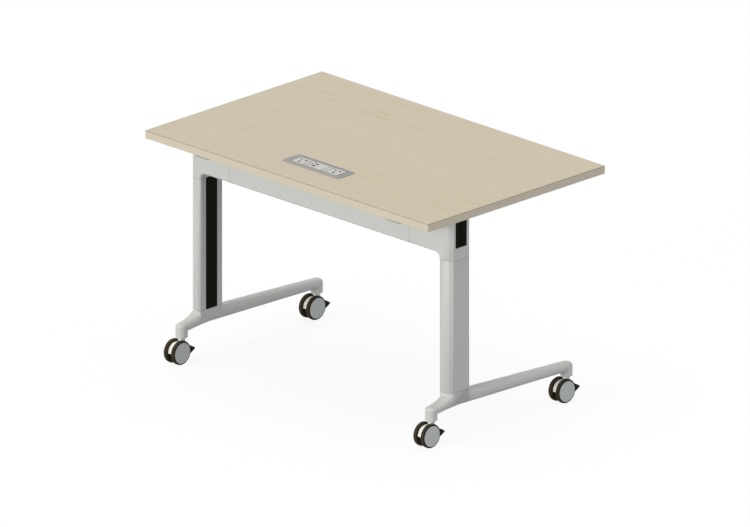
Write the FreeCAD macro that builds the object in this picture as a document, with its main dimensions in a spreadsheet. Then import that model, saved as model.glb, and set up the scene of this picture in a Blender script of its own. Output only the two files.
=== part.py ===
import FreeCAD, Part
import Sketcher
import math
import os
import re
from FreeCAD import Placement, Rotation, Vector

# A flip-top meeting table on four braked twin-wheel casters, with a power module set into its top.
# X runs along the length, Y from the near long edge to the far one, Z up; the origin is on the floor
# under the middle of the top. All sizes are in millimetres and angles in degrees.

SIZES = {
    # board and edge band
    "TopLength": 1200, "TopDepth": 750, "TopThickness": 25, "TopHeight": 740, "BandThickness": 2,
    # power module
    "ModuleInset": 136, "PanelLength": 196, "PanelDepth": 50, "PanelThickness": 3, "PanelRise": 2.2,
    "PanelRim": 0.8, "HousingLip": 6, "HousingSideLip": 2, "SkirtWall": 6, "SkirtSideWall": 3,
    "SkirtHeight": 6, "BezelLip": 12, "BezelSideLip": 9, "BezelEdge": 0.6, "BezelSeat": 1,
    "BezelCorner": 14, "FaceGap": 0.6, "FitGap": 0.2, "SocketLength": 52, "StripLength": 17,
    "SlotLength": 7, "EarthSlotLength": 8.5, "SlotBreadth": 4.5, "SlotSpacing": 19, "SlotOffset": 10,
    "PortLength": 12.5, "PortWidth": 5.1, "PortSpacing": 16, "PortInset": 15, "TongueThickness": 1.8,
    "HousingHeight": 47, "HousingWall": 9, "HousingSideWall": 6, "HousingFloor": 2, "InletLength": 16,
    "InletWidth": 30, "InletHeight": 18, "InletWall": 3.5, "InletPinRadius": 2, "InletPinSpacing": 7,
    "InletDrop": 3,
    # support arms under the top
    "ArmOffset": 28, "ArmWidth": 54, "ArmHeight": 27, "ArmWall": 4, "ArmFront": 106, "ArmRear": 422,
    "LobeRadius": 13, "LobeRear": 28, "ScrewRadius": 2.5, "ScrewHeadRadius": 5, "ScrewHeadHeight": 3,
    "ScrewDepth": 14, "ScrewStart": 50, "ScrewPitch": 120, "ScrewRows": 3,
    # tilt pivot, rests and latch
    "PivotSetback": 14, "PivotDrop": 45, "PivotRise": 17, "PinRadius": 5, "PinHeadRadius": 7,
    "PinHeadLength": 2.5, "KnuckleRadius": 12, "KnuckleGap": 0.5, "RunningClearance": 0.05,
    "SideClearance": 0.3, "EarWidth": 10, "EarDepth": 22, "EarSetback": 66, "RestPadHeight": 4,
    "RestClearance": 0.2, "StrikerRadius": 4, "StrikerBehind": 64, "StrikerAbove": 2,
    "LatchBehind": 94, "LatchAbove": 30, "LatchShaftRadius": 5, "LatchShaftOverhang": 6,
    "HubRadius": 9, "HubLength": 16, "HookThickness": 8, "ClawThickness": 5, "ClawClearance": 0.4,
    "ClawTip": -122, "ClawRoot": -40, "ClawHeel": -54, "WebStart": -110, "WebEnd": 20,
    "HandleWidth": 110, "HandleReach": 100, "HandleThickness": 5, "HandleRise": 2, "GripRadius": 5,
    # columns, beam and corner castings
    "ColumnInset": 70.5, "ColumnSetback": 186.5, "ColumnWidth": 46, "ColumnDepth": 99, "BowRadius": 40,
    "BowOffset": 9.5, "EdgeRadius": 8, "OuterEdgeRadius": 5, "ChannelWidth": 48, "ChannelDepth": 22,
    "CoverThickness": 3, "CoverGap": 0.2, "CoverLegThickness": 2, "CoverLegLength": 9,
    "CoreRadius": 6, "CoreOffset": 32, "CoreInset": 8, "CastingReach": 126.5, "BeamDepth": 86,
    "BeamHeight": 62, "BeamWall": 3, "SpigotLength": 40, "CornerRadius": 19, "HeadGap": 15,
    "WindowWidth": 48, "WindowSill": 37, "WindowTop": 7, "WindowDepth": 4, "WindowCover": 3,
    "WindowGap": 0.3, "WindowSlot": 1.5,
    # feet
    "FootHeight": 152, "PlatformDepth": 28, "NearReach": 104.3, "FarReach": 468.7, "RootWidth": 45.8,
    "RootHeight": 42, "RootDrop": 5, "RootRound": 17, "NeckReach": 40, "NeckWidth": 45.4, "NeckHeight": 45,
    "NeckRound": 17, "NeckCentre": 125, "ShoulderReach": 63, "ShoulderWidth": 41, "ShoulderHeight": 35,
    "ShoulderRound": 15, "ShoulderCentre": 117.5, "PostRadius": 18.6, "PostBottom": 80,
    "PostTop": 113, "DomeHeight": 10.5, "ArmEndCentre": 109, "ArmEndInset": 1.2, "ArmEndHeight": 29,
    "ArmEndRound": 12.5,
    # casters
    "WheelRadius": 37.5, "WheelWidth": 15, "HoodWidth": 15, "WheelGap": 0.3, "Trail": 19,
    "CapRadius": 32, "CapThickness": 2.5, "TyreShoulder": 5, "TyreFit": 0.1, "HubBoss": 9,
    "RimThickness": 3, "RimInset": 0.6, "HoodRadius": 31, "AxleRadius": 4, "AxleBoss": 11,
    "AxleLength": 40, "StemRadius": 5.5, "StemBottom": 54, "StemTop": 110, "BossRadius": 8,
    "BossTop": 74.5, "CollarRadius": 9, "CollarGap": 0.5, "GuideChamfer": 1.5,
    "PedalPivotY": 7, "PedalPivotZ": 43, "PedalEye": 4.8, "TrunnionRadius": 2.5, "TongueWidth": 6.4,
    "SlotWidth": 7, "SlotBack": 1, "SlotTop": 51, "PedalWidth": 30, "PedalStart": 21.5, "PedalHeel": 25.5,
    "PedalTip": 42, "PedalTop": 49, "PedalBottom": 26, "PedalTipTop": 40, "PedalTipHeight": 4,
}

doc = FreeCAD.newDocument("FlipTopTable")
sheet = doc.addObject("Spreadsheet::Sheet", "Dimensions")
for row, (alias, number) in enumerate(SIZES.items(), start=1):
    sheet.set(f"A{row}", alias)
    sheet.set(f"B{row}", str(number))
    sheet.setAlias(f"B{row}", alias)
doc.recompute()

# Levels and lines that several pieces share, as formulas of the sheet's sizes.
UNDERSIDE = "(TopHeight - TopThickness)"
ARM_BOTTOM = f"({UNDERSIDE} - ArmHeight)"
COLUMN_X = "(TopLength / 2 - ColumnInset)"
COLUMN_Y = "(-ColumnSetback)"
NEAR_FACE = "(-ColumnSetback - ColumnDepth / 2)"
BEAM_REAR = f"({NEAR_FACE} + BeamDepth)"
PIVOT_Y = f"({NEAR_FACE} + PivotSetback)"
PIVOT_Z = f"({UNDERSIDE} - PivotDrop)"
BEAM_TOP = f"({PIVOT_Z} - PivotRise)"
BEAM_BOTTOM = f"({BEAM_TOP} - BeamHeight)"
COLUMN_TOP = f"({BEAM_BOTTOM} - CornerRadius)"
HEAD_TOP = f"({UNDERSIDE} - HeadGap)"
INNER_X = f"({COLUMN_X} - ColumnWidth / 2)"
OUTER_X = f"({COLUMN_X} + ColumnWidth / 2)"
BOW_X = f"({COLUMN_X} - BowOffset)"
SEAM_X = f"({INNER_X} - CastingReach)"
ARM_X = f"({SEAM_X} + ArmOffset)"
MODULE_Y = "(-TopDepth / 2 + ModuleInset)"
HOUSING_LENGTH = "(PanelLength + 2 * HousingLip)"
HOUSING_DEPTH = "(PanelDepth + 2 * HousingSideLip)"
SKIRT_LENGTH = f"({HOUSING_LENGTH} + 2 * SkirtWall)"
SKIRT_DEPTH = f"({HOUSING_DEPTH} + 2 * SkirtSideWall)"
BEZEL_LENGTH = f"({SKIRT_LENGTH} + 2 * BezelLip)"
BEZEL_DEPTH = f"({SKIRT_DEPTH} + 2 * BezelSideLip)"
PANEL_TOP = "(TopHeight + PanelRise)"
PANEL_BOTTOM = f"({PANEL_TOP} - PanelThickness)"
HOUSING_BOTTOM = f"({PANEL_BOTTOM} - HousingHeight)"
LATCH_Y = f"({PIVOT_Y} + LatchBehind)"
LATCH_Z = f"({PIVOT_Z} + LatchAbove)"
STRIKER_Y = f"({PIVOT_Y} + StrikerBehind)"
STRIKER_Z = f"({PIVOT_Z} + StrikerAbove)"
STRIKER_REACH = "sqrt((LatchBehind - StrikerBehind)^2 + (LatchAbove - StrikerAbove)^2)"
CLAW_INNER = f"({STRIKER_REACH} + StrikerRadius + ClawClearance)"
CLAW_OUTER = f"({CLAW_INNER} + ClawThickness)"
EAR_TOP = f"({ARM_BOTTOM} - RestClearance - RestPadHeight)"
INNER_RISE = "(BowRadius - sqrt(BowRadius^2 - (ColumnWidth / 2 - BowOffset)^2))"
OUTER_RISE = "(BowRadius - sqrt(BowRadius^2 - (ColumnWidth / 2 + BowOffset)^2))"
PIN_BORE = "(PinRadius + RunningClearance)"
LATCH_BORE = "(LatchShaftRadius + RunningClearance)"

nodes = []


def formula(text):
    """Point the bare size names of a formula at the sheet."""
    return re.sub(r"\b[A-Z]\w*", lambda found: "Dimensions." + found.group(0), text)


def amount(text):
    """The present number that a formula gives."""
    result = sheet.evalExpression(formula(text))
    return float(getattr(result, "Value", result))


def bind(target, **links):
    for name, text in links.items():
        target.setExpression(name, formula(text))
    return target


def place(target, x="0", y="0", z="0"):
    for axis, text in zip("xyz", (x, y, z)):
        target.setExpression("Placement.Base." + axis, formula(text))
    return target


def node(target, label):
    """Name a finished sub-part; its label names its file."""
    target.Label = label
    nodes.append(target)
    return target


# Part primitives and booleans

TURNS = {"x": Rotation(Vector(0, 1, 0), 90), "z": Rotation()}


def box(x, y, z, length, width, height):
    """A block from its low corner."""
    block = doc.addObject("Part::Box", "Block")
    bind(block, Length=length, Width=width, Height=height)
    return place(block, x, y, z)


def centred_box(x, y, z, length, width, height):
    """A block centred on x and y, standing on z."""
    return box(f"{x} - ({length}) / 2", f"{y} - ({width}) / 2", z, length, width, height)


def rod(axis, x, y, z, radius, length):
    """A cylinder along an axis from its first end."""
    cylinder = doc.addObject("Part::Cylinder", "Rod")
    cylinder.Placement = Placement(Vector(), TURNS[axis])
    bind(cylinder, Radius=radius, Height=length)
    return place(cylinder, x, y, z)


def fuse(*pieces):
    union = doc.addObject("Part::MultiFuse", "Union")
    union.Shapes = list(pieces)
    return union


def cut(base, *tools):
    difference = doc.addObject("Part::Cut", "Cut")
    difference.Base = base
    difference.Tool = tools[0] if len(tools) == 1 else fuse(*tools)
    return difference


def group(*pieces):
    """Several like solids in one node."""
    compound = doc.addObject("Part::Compound", "Group")
    compound.Links = list(pieces)
    return compound


def mirrored(source):
    """The same piece on the other end of the table."""
    mirror = doc.addObject("Part::Mirroring", "Mirror")
    mirror.Source = source
    mirror.Normal = Vector(1, 0, 0)
    return mirror


# Sketches and the features made from them

def new_body(name):
    return doc.addObject("PartDesign::Body", name)


def sketch(body, plane, offset="0"):
    """A sketch on one of the body's own planes, moved along that plane's normal."""
    drawing = body.newObject("Sketcher::SketchObject", "Sketch")
    support = next(item for item in body.Origin.OriginFeatures if item.Role == plane)
    drawing.AttachmentSupport = [(support, "")]
    drawing.MapMode = "FlatFace"
    drawing.setExpression("AttachmentOffset.Base.z", formula(offset))
    return drawing


def dimension(drawing, kind, *where, text):
    """One driving dimension of a sketch, bound to a formula."""
    index = drawing.addConstraint(Sketcher.Constraint(kind, *where, amount(text)))
    drawing.setExpression(f"Constraints[{index}]", formula(text))


def pin_point(drawing, geometry, point, x, y):
    dimension(drawing, "DistanceX", -1, 1, geometry, point, text=x)
    dimension(drawing, "DistanceY", -1, 1, geometry, point, text=y)


def arc_between(start, end, radius, turn):
    """An arc of under a half circle; turn is 1 where it runs counter-clockwise, -1 clockwise."""
    chord = end - start
    height = math.sqrt(max(radius ** 2 - (chord.Length / 2) ** 2, 0))
    left = Vector(-chord.y, chord.x, 0).normalize()
    centre = (start + end) / 2 + left * height * turn
    first, last = (start, end) if turn > 0 else (end, start)
    angles = [math.atan2(point.y - centre.y, point.x - centre.x) for point in (first, last)]
    circle = Part.Circle(centre, Vector(0, 0, 1), radius)
    return Part.ArcOfCircle(circle, angles[0], angles[1])


def outline(drawing, corners):
    """A closed outline. A corner is (x, y), or (x, y, radius, turn) where an arc leaves it."""
    points = [Vector(amount(corner[0]), amount(corner[1]), 0) for corner in corners]
    edges = []
    for index, corner in enumerate(corners):
        start, end = points[index], points[(index + 1) % len(points)]
        if len(corner) == 2:
            edge = drawing.addGeometry(Part.LineSegment(start, end))
            edges.append((edge, 1, 2))
        else:
            edge = drawing.addGeometry(arc_between(start, end, amount(corner[2]), corner[3]))
            edges.append((edge, 1, 2) if corner[3] > 0 else (edge, 2, 1))
    for index, (edge, first, last) in enumerate(edges):
        following, following_first, _ = edges[(index + 1) % len(edges)]
        drawing.addConstraint(Sketcher.Constraint("Coincident", edge, last, following, following_first))
    for (edge, first, _), corner in zip(edges, corners):
        pin_point(drawing, edge, first, corner[0], corner[1])
        if len(corner) == 4:
            dimension(drawing, "Radius", edge, text=corner[2])
    return drawing


def rectangle(drawing, low_x, low_y, high_x, high_y):
    return outline(drawing, [(low_x, low_y), (high_x, low_y), (high_x, high_y), (low_x, high_y)])


def circle(drawing, x, y, radius):
    centre = Vector(amount(x), amount(y), 0)
    edge = drawing.addGeometry(Part.Circle(centre, Vector(0, 0, 1), amount(radius)))
    pin_point(drawing, edge, 3, x, y)
    dimension(drawing, "Radius", edge, text=radius)
    return drawing


def feature(body, kind, drawing, length, symmetric=False, reverse=False):
    """A Pad or Pocket of a sketch; the volume has to change the right way."""
    doc.recompute()
    before = 0 if body.Shape.isNull() else body.Shape.Volume
    step = body.newObject("PartDesign::" + kind, kind)
    step.Profile = drawing
    step.SideType = "Symmetric" if symmetric else "One side"
    step.Reversed = reverse
    bind(step, Length=length)
    doc.recompute()
    grown = body.Shape.Volume - before
    if (grown > 0) != (kind == "Pad"):
        raise RuntimeError(f"{body.Name}: the {kind} changed the volume by {grown:.1f}")
    return step


def pad(body, drawing, length, **options):
    return feature(body, "Pad", drawing, length, **options)


def pocket(body, drawing, length, **options):
    return feature(body, "Pocket", drawing, length, **options)


def revolve(body, drawing):
    """A full turn about the sketch's horizontal axis."""
    turn = body.newObject("PartDesign::Revolution", "Revolution")
    turn.Profile = drawing
    turn.ReferenceAxis = (drawing, ["H_Axis"])
    turn.Angle = 360
    doc.recompute()
    return turn


def round_edges(body, radius, chosen):
    """Fillet the edges that a test picks."""
    doc.recompute()
    names = [f"Edge{i}" for i, edge in enumerate(body.Shape.Edges, start=1) if chosen(edge)]
    fillet = body.newObject("PartDesign::Fillet", "Fillet")
    fillet.Base = (fillet.BaseFeature, names)
    bind(fillet, Radius=radius)
    doc.recompute()
    return fillet


def upright(edge):
    """True for a straight vertical edge."""
    return edge.Curve.TypeId == "Part::GeomLine" and abs(edge.Length - edge.BoundBox.ZLength) < 1e-6


def column_outline(drawing):
    """The extrusion's section about its own axis: flat sides, and ends that bow out on the inner side."""
    side = "ColumnWidth / 2"
    inner, outer = f"(ColumnDepth / 2 - {INNER_RISE})", f"(ColumnDepth / 2 - {OUTER_RISE})"
    return outline(drawing, [
        (f"-{side}", f"-{inner}", "BowRadius", 1), (side, f"-{outer}"),
        (side, outer, "BowRadius", 1), (f"-{side}", inner)])


def round_column(body):
    """Round the column's long edges, more on the inner side than on the outer."""
    round_edges(body, "EdgeRadius", lambda edge: upright(edge) and edge.BoundBox.XMax < 0)
    round_edges(body, "OuterEdgeRadius", lambda edge: upright(edge) and edge.BoundBox.XMin > 0)


# The top: board, edge band and the screws that hold it on its arms

def screw_places():
    """X and Y formulas of the screws: a row of pairs along each arm."""
    for side in (-1, 1):
        for index in range(int(SIZES["ScrewRows"])):
            for half in (-1, 1):
                x = f"({side} * {ARM_X} + {half} * ArmWidth / 4)"
                yield x, f"({LATCH_Y} + ScrewStart + {index} * ScrewPitch)"


def module_slab(name, gap, height):
    """A slab with the outline of the module's bezel and a gap round it, up from the floor of its rebate."""
    body = new_body(name)
    half_length, half_depth = f"({BEZEL_LENGTH} / 2 + {gap})", f"({BEZEL_DEPTH} / 2 + {gap})"
    pad(body, rectangle(sketch(body, "XY_Plane"), f"-{half_length}", f"-{half_depth}", half_length,
                        half_depth), height)
    round_edges(body, f"BezelCorner + {gap}", upright)
    return place(body, "0", MODULE_Y, "TopHeight - BezelSeat")


def make_board():
    low_x, low_y = "-TopLength / 2 + BandThickness", "-TopDepth / 2 + BandThickness"
    core = box(low_x, low_y, UNDERSIDE, "TopLength - 2 * BandThickness", "TopDepth - 2 * BandThickness",
               "TopThickness")
    rebate = module_slab("Rebate", "FitGap", "2 * BezelSeat")
    opening = centred_box("0", MODULE_Y, UNDERSIDE, f"{SKIRT_LENGTH} + 2 * FitGap",
                          f"{SKIRT_DEPTH} + 2 * FitGap", "TopThickness")
    holes = [rod("z", x, y, UNDERSIDE, "ScrewRadius + RunningClearance", "ScrewDepth + RunningClearance")
             for x, y in screw_places()]
    node(cut(core, rebate, opening, *holes), "table_board")


def make_edge_band():
    strips = []
    for side in (-1, 1):
        strips.append(centred_box("0", f"{side} * (TopDepth - BandThickness) / 2", UNDERSIDE, "TopLength",
                                  "BandThickness", "TopThickness"))
        strips.append(centred_box(f"{side} * (TopLength - BandThickness) / 2", "0", UNDERSIDE,
                                  "BandThickness", "TopDepth - 2 * BandThickness", "TopThickness"))
    node(group(*strips), "edge_banding")


def make_screws():
    screws = []
    head_bottom = f"({UNDERSIDE} - ArmWall - ScrewHeadHeight)"
    for x, y in screw_places():
        head = rod("z", x, y, head_bottom, "ScrewHeadRadius", "ScrewHeadHeight")
        shank = rod("z", x, y, head_bottom, "ScrewRadius", "ScrewHeadHeight + ArmWall + ScrewDepth")
        screws.append(fuse(head, shank))
    node(group(*screws), "arm_screws")


# The power module: bezel, face pieces, housing and inlet

def make_bezel():
    """A frame let into the board: rounded corners, sloping rims and a skirt round the housing."""
    base = module_slab("BezelBase", "0", "BezelSeat + PanelRise")
    # The slopes are those of a wedge, which rises along its own Y axis.
    slope = doc.addObject("Part::Wedge", "Slope")
    half_length, half_depth = f"({BEZEL_LENGTH} / 2)", f"({BEZEL_DEPTH} / 2)"
    top_length, top_depth = "(PanelLength / 2 + PanelRim)", "(PanelDepth / 2 + PanelRim)"
    bind(slope, Xmin=f"-{half_length}", Xmax=half_length, Zmin=f"-{half_depth}", Zmax=half_depth,
         X2min=f"-{top_length}", X2max=top_length, Z2min=f"-{top_depth}", Z2max=top_depth,
         Ymin="BezelEdge", Ymax="PanelRise")
    slope.Placement = Placement(Vector(), Rotation(Vector(1, 0, 0), 90))
    place(slope, "0", MODULE_Y, "TopHeight")
    edge = centred_box("0", MODULE_Y, "TopHeight - BezelSeat", BEZEL_LENGTH, BEZEL_DEPTH,
                       "BezelSeat + BezelEdge")
    frame = doc.addObject("Part::MultiCommon", "Frame")
    frame.Shapes = [base, fuse(edge, slope)]
    skirt = centred_box("0", MODULE_Y, "TopHeight - SkirtHeight", SKIRT_LENGTH, SKIRT_DEPTH,
                        "SkirtHeight + BezelEdge")
    room = centred_box("0", MODULE_Y, HOUSING_BOTTOM, f"{HOUSING_LENGTH} + 2 * FitGap",
                       f"{HOUSING_DEPTH} + 2 * FitGap", "HousingHeight")
    well = centred_box("0", MODULE_Y, PANEL_BOTTOM, "PanelLength", "PanelDepth", "PanelThickness")
    node(cut(fuse(frame, skirt), room, well), "module_bezel")


def face_piece(left, length):
    """One white face piece of the panel, from its left edge."""
    return box(f"{left} + FaceGap", f"{MODULE_Y} - PanelDepth / 2 + FaceGap", PANEL_BOTTOM,
               f"{length} - 2 * FaceGap", "PanelDepth - 2 * FaceGap", "PanelThickness")


def make_module_faces():
    left_edge = "(-PanelLength / 2)"
    data_left = f"({left_edge} + SocketLength + StripLength)"
    data_length = "(PanelLength - 2 * SocketLength - 2 * StripLength)"
    sockets = []
    for left in (left_edge, "(PanelLength / 2 - SocketLength)"):
        middle = f"({left} + SocketLength / 2)"
        slots = [centred_box(middle, f"{MODULE_Y} - SlotOffset", PANEL_BOTTOM, "SlotBreadth",
                             "EarthSlotLength", "PanelThickness")]
        for side in (-0.5, 0.5):
            slots.append(centred_box(f"{middle} + {side} * SlotSpacing", f"{MODULE_Y} + SlotOffset",
                                     PANEL_BOTTOM, "SlotLength", "SlotBreadth", "PanelThickness"))
        sockets.append(cut(face_piece(left, "SocketLength"), *slots))
    node(group(*sockets), "socket_plates")
    strips = [face_piece(f"({left_edge} + SocketLength)", "StripLength"),
              face_piece("(PanelLength / 2 - SocketLength - StripLength)", "StripLength")]
    node(group(*strips), "filler_strips")
    plate = face_piece(data_left, data_length)
    ports, tongues = [], []
    for side in (-0.5, 0.5):
        x, y = f"({data_left} + PortInset)", f"({MODULE_Y} + {side} * PortSpacing)"
        ports.append(centred_box(x, y, PANEL_BOTTOM, "PortLength", "PortWidth", "PanelThickness"))
        tongues.append(centred_box(x, y, PANEL_BOTTOM, "PortLength", "TongueThickness",
                                   "PanelThickness / 2"))
    node(fuse(cut(plate, *ports), *tongues), "data_unit")


def make_housing():
    shell = centred_box("0", MODULE_Y, HOUSING_BOTTOM, HOUSING_LENGTH, HOUSING_DEPTH, "HousingHeight")
    hollow = centred_box("0", MODULE_Y, f"{HOUSING_BOTTOM} + HousingFloor",
                         f"{HOUSING_LENGTH} - 2 * HousingWall", f"{HOUSING_DEPTH} - 2 * HousingSideWall",
                         "HousingHeight - HousingFloor")
    node(cut(shell, hollow), "module_housing")


def make_inlet():
    """The inlet on the left end of the housing, below the board: a recess with three pins."""
    left = f"(-{HOUSING_LENGTH} / 2 - InletLength)"
    bottom = f"({UNDERSIDE} - InletDrop - InletHeight)"
    block = centred_box(f"{left} + InletLength / 2", MODULE_Y, bottom, "InletLength", "InletWidth",
                        "InletHeight")
    recess = centred_box(f"{left} + (InletLength - InletWall) / 2", MODULE_Y,
                         f"{bottom} + InletWall", "InletLength - InletWall", "InletWidth - 2 * InletWall",
                         "InletHeight - 2 * InletWall")
    pins = [rod("x", f"{left} + InletWall", f"{MODULE_Y} + {index} * InletPinSpacing",
                f"{bottom} + InletHeight / 2", "InletPinRadius", "InletLength - InletWall")
            for index in (-1, 0, 1)]
    node(fuse(cut(block, recess), *pins), "power_inlet")


# Support arms: channels open downwards, with lobes that reach down to the tilt pivot

def make_arm(name, side):
    body = new_body("Arm")
    lobe_front, lobe_rear = f"({PIVOT_Y} - LobeRadius)", f"({PIVOT_Y} + LobeRear)"
    lobe_end = f"({PIVOT_Y} + LobeRadius)"
    front, rear = f"({PIVOT_Y} - ArmFront)", f"({PIVOT_Y} + ArmRear)"
    pad(body, outline(sketch(body, "YZ_Plane"), [
        (front, ARM_BOTTOM), (lobe_front, ARM_BOTTOM),
        (lobe_front, PIVOT_Z, "LobeRadius", 1), (PIVOT_Y, f"{PIVOT_Z} - LobeRadius", "LobeRadius", 1),
        (lobe_end, PIVOT_Z), (lobe_rear, ARM_BOTTOM), (rear, ARM_BOTTOM), (rear, UNDERSIDE),
        (front, UNDERSIDE)]), "ArmWidth", symmetric=True)
    pocket(body, rectangle(sketch(body, "YZ_Plane"), f"{front} + ArmWall", f"{PIVOT_Z} - 2 * LobeRadius",
                           f"{rear} - ArmWall", f"{UNDERSIDE} - ArmWall"),
           "ArmWidth - 2 * ArmWall", symmetric=True)
    bores = circle(sketch(body, "YZ_Plane"), PIVOT_Y, PIVOT_Z, PIN_BORE)
    pocket(body, circle(bores, LATCH_Y, LATCH_Z, LATCH_BORE), "2 * ArmWidth", symmetric=True)
    holes = sketch(body, "XY_Plane", UNDERSIDE)
    for x, y in screw_places():
        if x.startswith(f"({side} "):
            circle(holes, f"{x} - {side} * {ARM_X}", y, "ScrewRadius + RunningClearance")
    pocket(body, holes, "2 * ArmWall")
    node(place(body, f"{side} * {ARM_X}"), name)


def make_pins():
    """Hinge pins through the arms' lobes and the knuckles, and striker pins across the ears."""
    hinges, strikers = [], []
    length = "(ArmWidth + 2 * SideClearance)"
    for side in (-1, 1):
        start = f"({side} * {ARM_X} - {length} / 2)"
        shank = rod("x", start, PIVOT_Y, PIVOT_Z, "PinRadius", length)
        heads = [rod("x", f"{start} - PinHeadLength", PIVOT_Y, PIVOT_Z, "PinHeadRadius", "PinHeadLength"),
                 rod("x", f"{start} + {length}", PIVOT_Y, PIVOT_Z, "PinHeadRadius", "PinHeadLength")]
        hinges.append(fuse(shank, *heads))
        strikers.append(rod("x", f"{side} * {ARM_X} - ArmWidth / 2", STRIKER_Y, STRIKER_Z, "StrikerRadius",
                            "ArmWidth"))
    node(group(*hinges), "hinge_pins")
    node(group(*strikers), "striker_pins")


def ear_corner(side, half):
    """Low X and Y of one rest ear, which stands under a cheek of its arm."""
    x = f"({side} * {ARM_X} + {half} * (ArmWidth - EarWidth) / 2 - EarWidth / 2)"
    return x, f"({PIVOT_Y} + EarSetback - EarDepth / 2)"


def make_rest_pads():
    pads = []
    for side in (-1, 1):
        for half in (-1, 1):
            x, y = ear_corner(side, half)
            pads.append(box(x, y, EAR_TOP, "EarWidth", "EarDepth", "RestPadHeight"))
    node(group(*pads), "rest_pads")


# The latch: a shaft through both arms with a hook at each end and a squeeze handle in the middle

def polar(radius, angle):
    return f"({radius}) * cos({angle})", f"({radius}) * sin({angle})"


def make_hook():
    """A claw concentric with its shaft, so that it slides under the striker as it turns."""
    body = new_body("Hook")
    pad(body, outline(sketch(body, "YZ_Plane"), [
        polar(CLAW_INNER, "ClawTip"), polar(CLAW_OUTER, "ClawTip") + (CLAW_OUTER, 1),
        polar(CLAW_OUTER, "ClawRoot"), polar("HubRadius", "WebEnd"), polar("HubRadius", "WebStart"),
        polar(CLAW_INNER, "ClawHeel") + (CLAW_INNER, -1)]), "HookThickness", symmetric=True)
    pad(body, circle(sketch(body, "YZ_Plane"), "0", "0", "HubRadius"), "HubLength", symmetric=True)
    pocket(body, circle(sketch(body, "YZ_Plane"), "0", "0", LATCH_BORE), "2 * HubLength", symmetric=True)
    return place(body, ARM_X, LATCH_Y, LATCH_Z)


def make_latch():
    length = f"(2 * {ARM_X} + ArmWidth + 2 * LatchShaftOverhang)"
    node(rod("x", f"-{length} / 2", LATCH_Y, LATCH_Z, "LatchShaftRadius", length), "latch_shaft")
    hook = make_hook()
    node(group(hook, mirrored(hook)), "latch_hooks")
    left = "(-HandleWidth / 2)"
    sleeve = rod("x", left, LATCH_Y, LATCH_Z, "HubRadius", "HandleWidth")
    blade = box(left, LATCH_Y, f"{LATCH_Z} + HandleRise", "HandleWidth", "HandleReach", "HandleThickness")
    grip = rod("x", left, f"{LATCH_Y} + HandleReach", f"{LATCH_Z} + HandleRise + HandleThickness / 2",
               "GripRadius", "HandleWidth")
    bore = rod("x", left, LATCH_Y, LATCH_Z, LATCH_BORE, "HandleWidth")
    node(cut(fuse(sleeve, blade, grip), bore), "latch_handle")


# Crossbeam and corner castings

def beam_outline(drawing, inset):
    """The beam's section, smaller by an inset: a box whose two lower edges are rounded."""
    near, far = f"({NEAR_FACE} + {inset})", f"({BEAM_REAR} - {inset})"
    low, high = f"({BEAM_BOTTOM} + {inset})", f"({BEAM_TOP} - {inset})"
    radius = f"(EdgeRadius - {inset})"
    return outline(drawing, [
        (near, f"{low} + {radius}", radius, 1), (f"{near} + {radius}", low),
        (f"{far} - {radius}", low, radius, 1), (far, f"{low} + {radius}"), (far, high), (near, high)])


def make_beam():
    body = new_body("Beam")
    pad(body, beam_outline(sketch(body, "YZ_Plane"), "0"), f"2 * {SEAM_X}", symmetric=True)
    pocket(body, beam_outline(sketch(body, "YZ_Plane"), "BeamWall"), f"2 * {SEAM_X}", symmetric=True)
    node(body, "crossbeam")


def on_lower_edge(edge):
    """True for the casting's edges along the lower side of its arm, from the seam round to the column."""
    bounds = edge.BoundBox
    in_face = any(abs(bounds.YMin - y) + abs(bounds.YMax - y) < 1e-6
                  for y in (amount(NEAR_FACE), amount(BEAM_REAR)))
    return (in_face and bounds.ZMax < amount(BEAM_BOTTOM) + 1e-6 and bounds.XMin > amount(SEAM_X) - 1e-6
            and bounds.XMax < amount(INNER_X) + 1e-6)


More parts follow.
